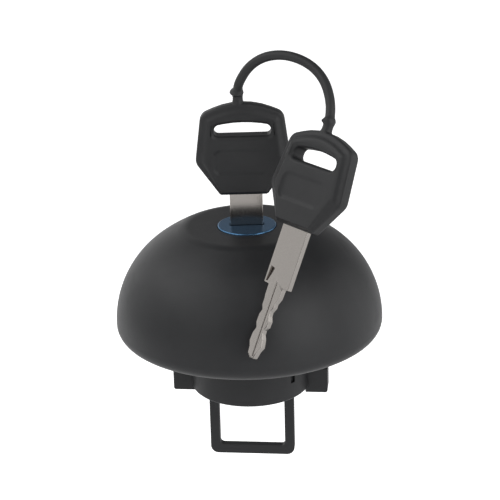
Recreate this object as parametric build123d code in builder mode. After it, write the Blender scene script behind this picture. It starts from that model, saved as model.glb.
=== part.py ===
"""Locking fuel filler cap for a 40 mm bayonet filler neck, with its pair of moulded keys.

Millimetres, +Z up. The origin is on the cap's axis, in the plane where the gasket meets
the top of the filler neck. The bayonet neck hangs below it and the dome stands above it.
Each moulded, turned or pressed piece is one solid (or a group of equal ones) with its own file.
"""

import os
from math import acos, asin, cos, degrees, hypot, radians, sin

from build123d import *

# ---------------------------------------------------------------- fits
SHAFT_GAP = 0.05        # radial gap of a turning or sliding fit
FREE_GAP = 0.3          # radial gap between pieces that pass each other
SEAT_GAP = 0.1          # end float between pieces that turn on each other
SLOT_GAP = 0.2          # room on each side of a key in its slot

# ---------------------------------------------------------------- dome
dome_r = 44.0           # greatest radius, at the belt
dome_wall = 2.6
crown_r = 20.8          # flat round crown
belt_z = 3.0            # height at which the wall stands upright
rim_round = 4.3         # outside radius of the rolled-in rim
lower_r = 32.9          # shoulder arc that leaves the belt
lower_turn = 53.2       # degrees that it runs before the upper arc takes over
upper_r = 49.5          # flatter shoulder arc up to the crown
crown_edge_round = 8.0
rib_count = 12
rib_wall = 1.6
rail_in_r = 21.0        # bearing rail under the ribs
rail_out_r = 24.0
rail_h = 2.4

# ---------------------------------------------------------------- neck insert
neck_r = 19.7           # plug part that enters the 40 mm filler neck
neck_wall = 2.5
neck_depth = 21.0       # from the sealing plane to the lower end
neck_end_chamfer = 0.4
lug_reach_r = 25.9
lug_wide = 6.4
lug_h = 8.4
lug_below = 1.9         # the lugs reach this far below the end of the neck
lug_corner = 0.8
lug_foot = 1.2          # part of each lug's lower end that lies under the neck's wall
lug_ramp = 1.2          # lead-in on the upper face of each lug
lug_angle = -6.5        # where the lugs and the loop stand, degrees from +X
flange_r = 27.2
flange_t = 1.8
lip_t = 1.4             # inward lip that the dome is hooked under
lip_in_r = 13.6
pocket_count = 12
pocket_deep = 2.4
pocket_wide = 6.4
drain_angle = -46.0     # drain slot down the outside of the neck
drain_wide = 1.8
drain_deep = 0.9
drain_top_z = -7.0
drain_end_z = -15.2

# ---------------------------------------------------------------- gasket and its carrier
gasket_t = 2.2
gasket_out_r = 26.2
ring_t = 1.6            # pressure ring that backs the gasket
ring_lip_h = 1.3
gasket_float = 1.5      # how far the gasket can be pushed up
spring_wire_r = 0.55
spring_coil_r = 23.4
spring_halves = 3       # half turns of the coil
tab_wide = 2.2
slip_ring_t = 0.8

# ---------------------------------------------------------------- lock
face_r = 9.6            # coloured disc on the plug's head
face_t = 1.9
face_proud = 0.4        # how far the disc stands above the crown
plug_r = 7.5
plug_floor = 1.6
housing_r = 10.15
housing_spline = 3.0    # wide, two of them
spline_deep = 1.0
sleeve_r = 13.3         # sleeve under the crown that holds the housing
wafer_count = 6
wafer_pitch = 3.0       # also the pitch of the cuts in the key
wafer_t = 1.0
wafer_wide = 6.0
groove_deep = 1.2       # broached groove that the wafers spring into
tail_w = 6.0
cam_t = 2.3
cam_r = 15.0
cam_hub_r = 7.2
cam_groove_deep = 1.5

# ---------------------------------------------------------------- bolt and its guide
bolt_travel = 2.4
bolt_w = 6.0
bolt_h = 4.0
bolt_back_x = 8.6
bolt_tip_x = 15.9
pin_r = 1.1
guide_r = 15.6
guide_roof = 0.8
screw_r = 0.95
screw_head_r = 1.8
screw_head_h = 1.3
screw_circle_r = 11.75
screw_bite = 6.0
screw_angles = (60, 180, 300)
cam_screw_r = 1.2
cam_screw_head_r = 2.7
cam_screw_head_h = 1.5
washer_r = 3.4
washer_t = 0.5

# ---------------------------------------------------------------- bottom plate, loop and vent
plate_t = 3.2
seal_wire_r = 0.62
loop_wide = 28.6
loop_drop = 26.4
loop_leg = 3.2
loop_thick = 2.6
loop_outer_round = 2.6
loop_inner_round = 1.3
vent_hole_r = 2.0
vent_seat_r = 3.0
vent_seat_h = 0.4
vent_boss_r = 6.6
vent_boss_wall = 1.5
vent_boss_h = 4.0
valve_r = 4.6
valve_t = 1.2
valve_stem_r = 1.2
valve_lift = 1.2
valve_spring_h = 4.0
valve_spring_wire_r = 0.25
valve_spring_halves = 7
valve_spring_coil_r = 2.3
valve_cap_t = 1.0

# ---------------------------------------------------------------- keys
blade_t = 2.2
shoulder_w = 10.9       # upper, uncut part of the blade
shoulder_len = 18.8
bit_w = 6.4
bit_len = 23.3
blade_shown = 10.7      # length of blade between the lock face and the head
left_cuts = (0.5, 1.0, 0.6, 1.1, 0.4, 0.8)
right_cuts = (0.9, 0.5, 1.1, 0.7, 1.0, 0.4)
cut_flat = 1.1
head_shift = -0.6       # the head sits a little off the blade's centre
head_low_w = 15.4
head_wide = 30.8
head_wide_h = 11.0
head_top_w = 27.4
head_top_h = 26.0
head_h = 30.5
head_low_round = 1.2
head_wide_round = 4.0
head_top_round = 4.5
head_t = 6.5            # over both raised pads
head_base_t = 4.1       # between the pads
head_base_round = 1.1
pad_inset = 1.9
pad_round = 1.1
ring_slot_wall = 4.2        # left at each end of the slot, at the head's top corners
ring_slot_w = head_top_w - 2 * ring_slot_wall
ring_slot_low = 19.4
ring_slot_h = 5.7
ring_slot_side_h = 4.6
panel_wall = 5.7            # left at each end of the panel, at the head's widest
panel_w = head_wide - 2 * panel_wall
panel_low = 7.2
panel_h = 8.6
panel_deep = 0.4
ring_slot_edge_round = 0.7
panel_edge_round = 0.35
tang_w = 8.0
tang_h = 9.0
strap_r = 1.43
stub_x = -1.2           # the strap leaves the head a little to one side
stub_h = 3.4
stub_r = 1.75           # at the head
stub_taper = 4.5
bead_r = 1.35           # bead on one side of each stub
bead_out = 1.25

# second key: it hangs in front of the dome from the strap
key_2_right = 15.6      # lower edge of its head, from the cap's axis
key_2_behind_belt = 7.3
key_2_above_key_1 = 0.75
key_2_lean = 20.1       # degrees that its axis leans to the right
key_2_back = 16.6       # degrees that it lies back towards the dome
key_2_yaw = -45.0       # turn about its own axis
strap_path = (          # corners of its runs: share of the way between the beads, sideways, height
    (0.07, -1.6, 3.6),
    (0.11, 0.7, 9.4),
    (0.18, 4.0, 13.2),
    (0.30, 7.5, 14.6),
    (0.46, 9.9, 13.0),
    (0.65, 8.8, 9.6),
    (0.85, 4.8, 4.6),
)
strap_bends = (9.0, 11.0, 14.0, 14.0, 13.0, 12.0, 11.0)

# ---------------------------------------------------------------- heights worked out from the above
lower_c = Vector(dome_r - lower_r, belt_z)
upper_c = lower_c + Vector(cos(radians(lower_turn)), sin(radians(lower_turn))) * (lower_r - upper_r)
crown_turn = acos((crown_r - upper_c.X) / upper_r)
crown_z = upper_c.Y + upper_r * sin(crown_turn)
rim_c = Vector(dome_r - rim_round, belt_z)
rim_z = belt_z - rim_round

blade_len = shoulder_len + bit_len
face_z = crown_z + face_proud
key_tip_z = face_z - (blade_len - blade_shown)
key_1_root_z = face_z + blade_shown
plug_head_z = face_z - face_t                  # top of the plug's head, under the disc
housing_top_z = crown_z - dome_wall
keyway_end_z = key_tip_z - FREE_GAP
plug_end_z = keyway_end_z - plug_floor
wide_slot_z = key_1_root_z - shoulder_len - SLOT_GAP

cam_top_z = plug_end_z - SEAT_GAP
cam_low_z = cam_top_z - cam_t
guide_low_z = plug_end_z
bolt_low_z = guide_low_z + SEAT_GAP
bolt_top_z = bolt_low_z + bolt_h
guide_top_z = bolt_top_z + SEAT_GAP + guide_roof
lip_low_z = guide_top_z + SEAT_GAP
insert_top_z = lip_low_z + lip_t
slip_top_z = insert_top_z + slip_ring_t
rail_z = slip_top_z + SEAT_GAP
flange_low_z = insert_top_z - flange_t
neck_low_z = -neck_depth
plate_top_z = neck_low_z + plate_t
neck_bore_r = neck_r - neck_wall
crown_bore_r = bolt_tip_x + FREE_GAP
crown_low_z = cam_low_z - 0.6
ring_top_z = gasket_t + ring_t
ring_in_r = neck_r + FREE_GAP
valve_seat_z = plate_top_z + vent_seat_h
valve_spring_z = valve_seat_z + valve_t
valve_cap_z = valve_spring_z + valve_spring_h
lug_low_z = neck_low_z - lug_below
lug_top_z = lug_low_z + lug_h
plate_seat_r = neck_bore_r + 0.9
plate_seat_h = 1.2
seal_z = (neck_low_z + plate_seat_h + plate_top_z) / 2
seal_groove_r = neck_bore_r - 2 * seal_wire_r
tab_t = 1.2
tab_deep = 0.85
tab_angle = 180 / pocket_count
tab_slot_z = gasket_t - SLOT_GAP
wafer_top_z = wide_slot_z - 1.2
pin_x = bolt_back_x + pin_r + 0.2
pin_low_z = cam_top_z - cam_groove_deep + SLOT_GAP


def round_bar(radius, low, high, mode=Mode.ADD):
    """A round bar or, when subtracted, a round hole on the cap's axis."""
    with BuildSketch(Plane.XY.offset(low)) as section:
        Circle(radius)
    extrude(section.sketch, amount=high - low, mode=mode)


def ring(outer, inner, low, high, mode=Mode.ADD):
    """A flat-ended ring on the cap's axis."""
    with BuildSketch(Plane.XY.offset(low)) as section:
        Circle(outer)
        Circle(inner, mode=Mode.SUBTRACT)
    extrude(section.sketch, amount=high - low, mode=mode)


def slot_box(width, depth, low, high, mode=Mode.SUBTRACT):
    """A rectangular slot on the cap's axis, width along X and depth along Y."""
    with BuildSketch(Plane.XY.offset(low)) as section:
        Rectangle(width, depth)
    extrude(section.sketch, amount=high - low, mode=mode)


def coil_spring(coil_r, wire_r, low, high, half_turns):
    """A compression spring whose half turns are arcs that tilt from one side to the other."""
    rise = (high - low - 2 * wire_r) / half_turns
    bend_r = hypot(coil_r, rise / 2)
    with BuildPart() as spring:
        with BuildLine() as coil:
            for index in range(half_turns):
                start_z = low + wire_r + index * rise
                side = 1 if index % 2 == 0 else -1
                ThreePointArc(
                    (side * coil_r, 0, start_z),
                    (0, side * bend_r, start_z + rise / 2),
                    (-side * coil_r, 0, start_z + rise),
                )
        with BuildSketch(Plane(origin=(coil_r, 0, low + wire_r), z_dir=(0, 1, 0))):
            Circle(wire_r)
        sweep(path=coil.line)
    return spring.part


# ================================================================ dome cover
def dome_section(inset):
    """Half section of the dome with its skin moved in by inset, closed across the rim."""
    top_z = crown_z - inset
    start = degrees(asin((top_z - upper_c.Y) / (upper_r - inset)))
    with BuildSketch(Plane.XZ) as section:
        with BuildLine():
            upper = CenterArc(upper_c, upper_r - inset, start, lower_turn - start)
            CenterArc(lower_c, lower_r - inset, lower_turn, -lower_turn)
            rim = CenterArc(rim_c, rim_round - inset, 0, -90)
            Polyline(rim @ 1, (0, (rim @ 1).Y), (0, top_z), upper @ 0)
        make_face()
    return section.sketch


with BuildPart() as dome_inside:
    add(dome_section(dome_wall))
    revolve(axis=Axis.Z)
    round_bar(rim_c.X, rim_z - 1, belt_z)

with BuildPart() as rib:
    with BuildSketch(Plane.XZ):
        Polygon(
            (sleeve_r - 1, rail_z),
            (rail_out_r, rail_z),
            (rail_out_r + 3, rail_z + 3.5),
            (dome_r - 8, rail_z + 5),
            (dome_r, rail_z + 9),
            (dome_r, crown_z),
            (sleeve_r - 1, crown_z),
            align=None,
        )
    extrude(amount=rib_wall / 2, both=True)

with BuildPart() as dome_ribs:
    with PolarLocations(0, rib_count, start_angle=180 / rib_count):
        add(rib.part)
    ring(rail_out_r, rail_in_r, rail_z, rail_z + rail_h)
    round_bar(sleeve_r, rail_z, crown_z)
    add(dome_inside.part, mode=Mode.INTERSECT)
    round_bar(housing_r + SHAFT_GAP, rail_z, crown_z, mode=Mode.SUBTRACT)

with BuildPart() as dome_cover:
    add(dome_section(0))
    revolve(axis=Axis.Z)
    crown_edges = dome_cover.edges().filter_by(GeomType.CIRCLE)
    fillet([e for e in crown_edges if abs(e.center().Z - crown_z) < 0.01], crown_edge_round)
    add(dome_inside.part, mode=Mode.SUBTRACT)
    add(dome_ribs.part)
    round_bar(face_r + SLOT_GAP, housing_top_z - 1, crown_z + 1, mode=Mode.SUBTRACT)
    with BuildSketch(Plane.XY.offset(rail_z)):
        with PolarLocations(housing_r, 2, start_angle=90):
            Rectangle(2 * (spline_deep + SLOT_GAP), housing_spline + 2 * SLOT_GAP)
    extrude(amount=housing_top_z - rail_z, mode=Mode.SUBTRACT)
    for angle in screw_angles:
        with BuildSketch(Plane.XY.offset(rail_z)):
            with PolarLocations(screw_circle_r, 1, start_angle=angle):
                Circle(screw_r + SHAFT_GAP)
    extrude(amount=screw_bite + 1, mode=Mode.SUBTRACT)
dome_cover.part.label = "dome_cover"

# ================================================================ bayonet insert
with BuildPart() as bayonet_insert:
    with BuildSketch(Plane.XZ):
        Polygon(
            (plate_seat_r, neck_low_z),
            (neck_r - neck_end_chamfer, neck_low_z),
            (neck_r, neck_low_z + neck_end_chamfer),
            (neck_r, flange_low_z),
            (flange_r, flange_low_z),
            (flange_r, insert_top_z),
            (lip_in_r, insert_top_z),
            (lip_in_r, lip_low_z),
            (crown_bore_r, lip_low_z),
            (crown_bore_r, crown_low_z),
            (neck_bore_r, crown_low_z - 1),
            (neck_bore_r, neck_low_z + plate_seat_h),
            (plate_seat_r, neck_low_z + plate_seat_h),
            align=None,
        )
    revolve(axis=Axis.Z)
    with BuildSketch(Plane.XY.offset(crown_low_z - 1)):
        with PolarLocations(crown_bore_r, pocket_count):
            Rectangle(2 * pocket_deep, pocket_wide)
        Circle(neck_bore_r - neck_wall, mode=Mode.SUBTRACT)
    extrude(amount=lip_low_z - crown_low_z + 1, mode=Mode.SUBTRACT)
    for side in (0, 180):
        with BuildSketch(Plane.XZ.rotated((0, 0, lug_angle + side))) as lug_section:
            lug_outline = Polygon(
                (neck_r - lug_foot, lug_low_z),
                (lug_reach_r, lug_low_z),
                (lug_reach_r, lug_top_z),
                (neck_r - lug_foot, lug_top_z),
                align=None,
            )
            fillet(lug_outline.vertices().group_by(Axis.X)[-1].sort_by(Axis.Y)[0], lug_corner)
        extrude(amount=lug_wide / 2, both=True)
    lug_tops = bayonet_insert.edges().filter_by_position(Axis.Z, lug_top_z - 0.01, lug_top_z + 0.01)
    fillet([e for e in lug_tops if 5 < e.length < 6.25], lug_ramp)
    with BuildSketch(Plane.XY.offset(tab_slot_z)):
        with PolarLocations(neck_r, 3, start_angle=tab_angle):
            Rectangle(2 * tab_deep, tab_wide + 2 * SLOT_GAP)
    extrude(amount=tab_t + gasket_float + 2 * SLOT_GAP, mode=Mode.SUBTRACT)
    with BuildSketch(Plane.XY.offset(drain_end_z)):
        with PolarLocations(neck_r, 1, start_angle=drain_angle):
            Rectangle(2 * drain_deep, drain_wide)
    extrude(amount=drain_top_z - drain_end_z, mode=Mode.SUBTRACT)
bayonet_insert.part.label = "bayonet_insert"

with BuildPart() as slip_ring:
    ring(rail_out_r + 0.5, rail_in_r - 1, insert_top_z, slip_top_z)
slip_ring.part.label = "slip_ring"

# ================================================================ gasket, pressure ring and spring
with BuildPart() as gasket:
    ring(gasket_out_r, ring_in_r, 0, gasket_t)
gasket.part.label = "gasket"

with BuildPart() as pressure_ring:
    ring(flange_r, ring_in_r, gasket_t, ring_top_z)
    ring(flange_r, gasket_out_r + SHAFT_GAP, gasket_t - ring_lip_h, gasket_t)
    centring_r = spring_coil_r - spring_wire_r - FREE_GAP
    ring(centring_r, centring_r - 1, ring_top_z, ring_top_z + 0.8)
    with BuildSketch(Plane.XY.offset(gasket_t)):
        with PolarLocations(ring_in_r, 3, start_angle=tab_angle):
            Rectangle(2 * (ring_in_r - neck_r + tab_deep - SLOT_GAP), tab_wide)
        Circle(ring_in_r + ring_t, mode=Mode.INTERSECT)
    extrude(amount=tab_t)
pressure_ring.part.label = "pressure_ring"

pressure_spring = coil_spring(spring_coil_r, spring_wire_r, ring_top_z, flange_low_z, spring_halves)
pressure_spring.label = "pressure_spring"

# ================================================================ lock
with BuildPart() as lock_housing:
    ring(housing_r, plug_r + SHAFT_GAP, rail_z, housing_top_z)
    with BuildSketch(Plane.XY.offset(rail_z)):
        with PolarLocations(housing_r, 2, start_angle=90):
            Rectangle(2 * spline_deep, housing_spline)
        Circle(housing_r - 0.5, mode=Mode.SUBTRACT)
    extrude(amount=housing_top_z - rail_z - SLOT_GAP)
    slot_box(2 * (plug_r + groove_deep), wafer_wide + 2 * SLOT_GAP, rail_z, wafer_top_z + 1)
lock_housing.part.label = "lock_housing"

with BuildPart() as lock_plug:
    round_bar(plug_r, plug_end_z, plug_head_z)
    round_bar(face_r - SLOT_GAP, housing_top_z + SHAFT_GAP, plug_head_z)
    slot_box(tail_w, tail_w, cam_low_z + SEAT_GAP, plug_end_z, mode=Mode.ADD)
    slot_box(bit_w + 2 * SLOT_GAP, blade_t + 2 * SLOT_GAP, keyway_end_z, plug_head_z)
    slot_box(shoulder_w + 2 * SLOT_GAP, blade_t + 2 * SLOT_GAP, wide_slot_z, plug_head_z)
    for index in range(wafer_count):
        low = wafer_top_z - wafer_t - index * wafer_pitch
        slot_box(3 * plug_r, wafer_wide + SLOT_GAP, low - SHAFT_GAP, low + wafer_t + SHAFT_GAP)
    round_bar(cam_screw_r + SHAFT_GAP, cam_low_z, plug_end_z + plug_floor - 0.5, mode=Mode.SUBTRACT)
lock_plug.part.label = "lock_plug"

with BuildPart() as wafer_tumblers:
    for index in range(wafer_count):
        low = wafer_top_z - wafer_t - index * wafer_pitch
        with BuildSketch(Plane.XY.offset(low)):
            Rectangle(3 * plug_r, wafer_wide)
            Circle(plug_r - SLOT_GAP, mode=Mode.INTERSECT)
            Rectangle(bit_w + 3 * SLOT_GAP, blade_t + 3 * SLOT_GAP, mode=Mode.SUBTRACT)
        extrude(amount=wafer_t)
wafer_tumblers.part.label = "wafer_tumblers"

with BuildPart() as lock_face:
    round_bar(face_r, plug_head_z, face_z)
    fillet(lock_face.edges().group_by(Axis.Z)[-1], 0.4)
    slot_box(shoulder_w + 2 * SLOT_GAP, blade_t + 2 * SLOT_GAP, plug_head_z, face_z)
lock_face.part.label = "lock_face"

# The cam's groove runs outward by the bolt's travel in a quarter turn.
with BuildPart() as lock_cam:
    with BuildSketch(Plane.XY.offset(cam_low_z)):
        Circle(cam_r)
        with BuildSketch(mode=Mode.INTERSECT):
            with BuildLine():
                reach = 2 * cam_r
                Polyline(
                    (0, 0),
                    (reach * cos(radians(-16)), reach * sin(radians(-16))),
                    (reach, reach),
                    (reach * cos(radians(106)), reach * sin(radians(106))),
                    close=True,
                )
            make_face()
        Circle(cam_hub_r)
        Rectangle(tail_w + SLOT_GAP, tail_w + SLOT_GAP, mode=Mode.SUBTRACT)
    extrude(amount=cam_t)
    with BuildSketch(Plane.XY.offset(cam_top_z - cam_groove_deep)):
        middle_r = pin_x + bolt_travel / 2
        with BuildLine(mode=Mode.PRIVATE) as groove_line:
            ThreePointArc(
                (pin_x, 0),
                (middle_r * cos(radians(45)), middle_r * sin(radians(45))),
                (0, pin_x + bolt_travel),
            )
        SlotArc(groove_line.edge(), 2 * (pin_r + SLOT_GAP))
    extrude(amount=cam_groove_deep, mode=Mode.SUBTRACT)
lock_cam.part.label = "lock_cam"

with BuildPart() as cam_washer:
    ring(washer_r, cam_screw_r + SEAT_GAP, cam_low_z - washer_t, cam_low_z)
cam_washer.part.label = "cam_washer"

with BuildPart() as cam_screw:
    head_top_z = cam_low_z - washer_t
    round_bar(cam_screw_head_r, head_top_z - cam_screw_head_h, head_top_z)
    fillet(cam_screw.edges().group_by(Axis.Z)[0], 0.6)
    round_bar(cam_screw_r, head_top_z, plug_end_z + plug_floor - 0.7)
    slot_box(0.7, 3.0, head_top_z - cam_screw_head_h, head_top_z - cam_screw_head_h / 2)
    slot_box(3.0, 0.7, head_top_z - cam_screw_head_h, head_top_z - cam_screw_head_h / 2)
cam_screw.part.label = "cam_screw"

# ================================================================ bolt, guide and screws
with BuildPart() as locking_bolt:
    with BuildSketch(Plane.XY.offset(bolt_low_z)):
        with Locations(((bolt_back_x + bolt_tip_x) / 2, 0)):
            Rectangle(bolt_tip_x - bolt_back_x, bolt_w)
    extrude(amount=bolt_h)
    nose = locking_bolt.edges().filter_by(Axis.Z).group_by(Axis.X)[-1]
    chamfer(nose, 0.8)
    with BuildSketch(Plane.XY.offset(pin_low_z)):
        with Locations((pin_x, 0)):
            Circle(pin_r)
    extrude(amount=bolt_low_z - pin_low_z)
locking_bolt.part.label = "locking_bolt"

with BuildPart() as bolt_guide:
    round_bar(guide_r, guide_low_z, guide_top_z)
    round_bar(sleeve_r, guide_top_z, rail_z)
    round_bar(plug_r + SHAFT_GAP, guide_low_z, rail_z, mode=Mode.SUBTRACT)
    with BuildSketch(Plane.XY.offset(guide_low_z)):
        with Locations((guide_r, 0)):
            Rectangle(2 * (guide_r - bolt_back_x + FREE_GAP), bolt_w + 2 * SEAT_GAP)
    extrude(amount=bolt_top_z + SEAT_GAP - guide_low_z, mode=Mode.SUBTRACT)
    for angle in screw_angles:
        with BuildSketch(Plane.XY.offset(guide_low_z)):
            with PolarLocations(screw_circle_r, 1, start_angle=angle):
                Circle(screw_r + SEAT_GAP)
    extrude(amount=rail_z - guide_low_z, mode=Mode.SUBTRACT)
    for angle in screw_angles:
        with BuildSketch(Plane.XY.offset(guide_low_z)):
            with PolarLocations(screw_circle_r, 1, start_angle=angle):
                Circle(screw_head_r + SEAT_GAP)
    extrude(amount=screw_head_h + SEAT_GAP, mode=Mode.SUBTRACT)
bolt_guide.part.label = "bolt_guide"

with BuildPart() as guide_screws:
    for angle in screw_angles:
        with BuildSketch(Plane.XY.offset(guide_low_z + SEAT_GAP)):
            with PolarLocations(screw_circle_r, 1, start_angle=angle):
                Circle(screw_head_r)
    extrude(amount=screw_head_h)
    for angle in screw_angles:
        with BuildSketch(Plane.XY.offset(guide_low_z + screw_head_h)):
            with PolarLocations(screw_circle_r, 1, start_angle=angle):
                Circle(screw_r)
    extrude(amount=rail_z + screw_bite - guide_low_z - screw_head_h)
    for angle in screw_angles:
        with BuildSketch(Plane.XY.offset(guide_low_z)):
            with PolarLocations(screw_circle_r, 1, start_angle=angle):
                Rectangle(2.2, 0.5)
    extrude(amount=0.7, mode=Mode.SUBTRACT)
guide_screws.part.label = "guide_screws"

# ================================================================ bottom plate, loop and vent valve
loop_plane = Plane(
    origin=(0, 0, neck_low_z),
    x_dir=(cos(radians(lug_angle)), sin(radians(lug_angle)), 0),
    z_dir=(sin(radians(lug_angle)), -cos(radians(lug_angle)), 0),
)
with BuildPart() as bottom_plate:
    round_bar(neck_bore_r - SHAFT_GAP, neck_low_z, plate_top_z)
    round_bar(plate_seat_r - SHAFT_GAP, neck_low_z, neck_low_z + plate_seat_h)
    seal_half = seal_wire_r + 0.05
    ring(neck_bore_r + 1, seal_groove_r, seal_z - seal_half, seal_z + seal_half, mode=Mode.SUBTRACT)
    ring(vent_boss_r, vent_boss_r - vent_boss_wall, plate_top_z, plate_top_z + vent_boss_h)
    round_bar(vent_seat_r, plate_top_z, valve_seat_z)
    round_bar(vent_hole_r, neck_low_z, valve_seat_z, mode=Mode.SUBTRACT)
    with BuildSketch(loop_plane):
        with Locations((0, -loop_drop / 2)):
            loop_outline = Rectangle(loop_wide, loop_drop)
        fillet(loop_outline.vertices().group_by(Axis.Y)[0], loop_outer_round)
        with BuildSketch(mode=Mode.SUBTRACT):
            with Locations((0, -(loop_drop - loop_leg) / 2)):
                loop_hole = Rectangle(loop_wide - 2 * loop_leg, loop_drop - loop_leg)
            fillet(loop_hole.vertices().group_by(Axis.Y)[0], loop_inner_round)
    extrude(amount=loop_thick / 2, both=True)
bottom_plate.part.label = "bottom_plate"

with BuildPart() as plate_seal:
    with BuildSketch(Plane.XZ) as seal_section:
        with Locations((neck_bore_r - seal_wire_r, seal_z)):
            Rectangle(2 * seal_wire_r, 2 * seal_wire_r)
        chamfer(seal_section.vertices(), 0.6 * seal_wire_r)
    revolve(axis=Axis.Z)
plate_seal.part.label = "plate_seal"

with BuildPart() as vent_valve_disc:
    round_bar(valve_r, valve_seat_z, valve_spring_z)
    round_bar(valve_stem_r, valve_spring_z, valve_cap_z + valve_cap_t + 0.5)
vent_valve_disc.part.label = "vent_valve_disc"

vent_valve_spring = coil_spring(
    valve_spring_coil_r, valve_spring_wire_r, valve_spring_z, valve_cap_z, valve_spring_halves
)
vent_valve_spring.label = "vent_valve_spring"

with BuildPart() as vent_valve_cap:
    round_bar(vent_boss_r + 1, valve_cap_z, valve_cap_z + valve_cap_t)
    ring(vent_boss_r + 1, vent_boss_r + SHAFT_GAP, plate_top_z + 1.5, valve_cap_z)
    round_bar(valve_stem_r + SLOT_GAP, valve_cap_z, valve_cap_z + valve_cap_t, mode=Mode.SUBTRACT)
    with BuildSketch(Plane.XY.offset(plate_top_z + vent_boss_h)):
        with PolarLocations(vent_boss_r, 4):
            Rectangle(4, 4)
    extrude(amount=valve_cap_z - plate_top_z - vent_boss_h, mode=Mode.SUBTRACT)
vent_valve_cap.part.label = "vent_valve_cap"

# ================================================================ keys
# A key stands on its head's lower edge: X across the blade, Y through it, Z up to the head.
with BuildPart() as key_blade:
    with BuildSketch(Plane.XZ) as blade_outline:
        with Locations((0, -shoulder_len / 2)):
            Rectangle(shoulder_w, shoulder_len)
        with Locations((0, tang_h / 2)):
            Rectangle(tang_w, tang_h)
        with Locations((0, -shoulder_len - bit_len / 2)):
            Rectangle(bit_w, bit_len)
        tip = blade_outline.vertices().group_by(Axis.Y)[0]
        chamfer(tip, 2.0)
        for side, cuts in ((-1, left_cuts), (1, right_cuts)):
            for index, deep in enumerate(cuts):
                cut_y = -shoulder_len - 2.6 - index * wafer_pitch
                edge_x = side * bit_w / 2
                Polygon(
                    (edge_x + side * 0.5, cut_y + cut_flat / 2 + deep + 0.5),
                    (edge_x - side * deep, cut_y + cut_flat / 2),
                    (edge_x - side * deep, cut_y - cut_flat / 2),
                    (edge_x + side * 0.5, cut_y - cut_flat / 2 - deep - 0.5),
                    align=None,
                    mode=Mode.SUBTRACT,
                )
    extrude(amount=blade_t / 2, both=True)
    with BuildSketch(Plane.XZ.offset(blade_t / 2 - 0.35)):
        with Locations((0, -shoulder_len - bit_len / 2)):
            Rectangle(0.9, bit_len)
    extrude(amount=0.35, mode=Mode.SUBTRACT)
    with BuildSketch(Plane.XZ.offset(-blade_t / 2)):
        with Locations((0, -shoulder_len - bit_len / 2)):
            Rectangle(0.9, bit_len)
    extrude(amount=0.35, mode=Mode.SUBTRACT)


def head_outline(inset):
    """Outline of a key's head on its own XZ plane, moved in by inset."""
    with BuildSketch(Plane.XZ) as outline:
        with BuildLine():
            side_x, top_x, low_x = head_wide / 2, head_top_w / 2, head_low_w / 2
            top_arc = ThreePointArc((top_x, head_top_h), (0, head_h), (-top_x, head_top_h))
            Polyline(
                top_arc @ 1,
                (-side_x, head_wide_h),
                (-low_x, 0),
                (low_x, 0),
                (side_x, head_wide_h),
                top_arc @ 0,
            )
        make_face()
        fillet(outline.vertices().group_by(Axis.Y)[0], head_low_round)
        fillet(outline.vertices().group_by(Axis.Y)[2], head_wide_round)
        fillet(outline.vertices().group_by(Axis.Y)[-1], head_top_round)
        if inset:
            offset(amount=-inset, mode=Mode.REPLACE)
    return outline.sketch


def face_edges(head, low, high, half_width):
    """Edges on both faces of a head that lie between two heights and two sides."""
    return [
        edge
        for edge in head.edges()
        if abs(abs(edge.center().Y) - head_t / 2) < 0.01
        and low - 0.1 < edge.center().Z < high + 0.1
        and abs(edge.center().X) < half_width + 0.1
    ]


with BuildPart() as head_pads:
    extrude(head_outline(pad_inset), amount=head_t / 2, both=True)
    fillet(head_pads.faces().filter_by(Axis.Y).edges(), pad_round)

with BuildPart() as key_head:
    extrude(head_outline(0), amount=head_base_t / 2, both=True)
    fillet(key_head.faces().filter_by(Axis.Y).edges(), head_base_round)
    add(head_pads.part)
    with BuildSketch(Plane.XZ) as ring_slot:
        with BuildLine():
            slot_x, slot_side_z = ring_slot_w / 2, ring_slot_low + ring_slot_side_h
            slot_top_z = ring_slot_low + ring_slot_h
            slot_top = ThreePointArc((slot_x, slot_side_z), (0, slot_top_z), (-slot_x, slot_side_z))
            Polyline(slot_top @ 1, (-slot_x, ring_slot_low), (slot_x, ring_slot_low), slot_top @ 0)
        make_face()
        fillet(ring_slot.vertices().group_by(Axis.Y)[0], 1.6)
        fillet(ring_slot.vertices().group_by(Axis.Y)[-1], 1.9)
    extrude(amount=head_t, both=True, mode=Mode.SUBTRACT)
    fillet(face_edges(key_head, ring_slot_low, slot_top_z, slot_x), ring_slot_edge_round)
    for face_plane in (Plane.XZ.offset(head_t / 2 - panel_deep), Plane.XZ.offset(-head_t / 2)):
        with BuildSketch(face_plane):
            with Locations((0, panel_low + panel_h / 2)):
                RectangleRounded(panel_w, panel_h, 3.5)
        extrude(amount=panel_deep, mode=Mode.SUBTRACT)
    fillet(face_edges(key_head, panel_low, panel_low + panel_h, panel_w / 2), panel_edge_round)
    add(Location((-head_shift, 0, 0)) * key_blade.part, mode=Mode.SUBTRACT)
    with BuildSketch(Plane.XY.offset(head_h - 1.5)):
        with Locations((stub_x, 0)):
            Circle(stub_r)
    extrude(amount=stub_h + 1.5, taper=stub_taper)
    with Locations((stub_x, 0, head_h + stub_h)):
        Sphere(strap_r)
    with Locations((stub_x - bead_out, 0, head_h + stub_h)):
        Sphere(bead_r)

lean, back, yaw = radians(key_2_lean), radians(key_2_back), radians(key_2_yaw)
across = Vector(cos(lean), -sin(lean) * sin(back), -sin(lean) * cos(back))
through = Vector(0, cos(back), -sin(back))
along = Vector(sin(lean), cos(lean) * sin(back), cos(lean) * cos(back))
key_1_plane = Plane(origin=(0, 0, key_1_root_z))
key_2_root = (key_2_right, key_2_behind_belt - dome_r, key_1_root_z + key_2_above_key_1)
key_2_plane = Plane(origin=key_2_root, x_dir=across * cos(yaw) + through * sin(yaw), z_dir=along)

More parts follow.
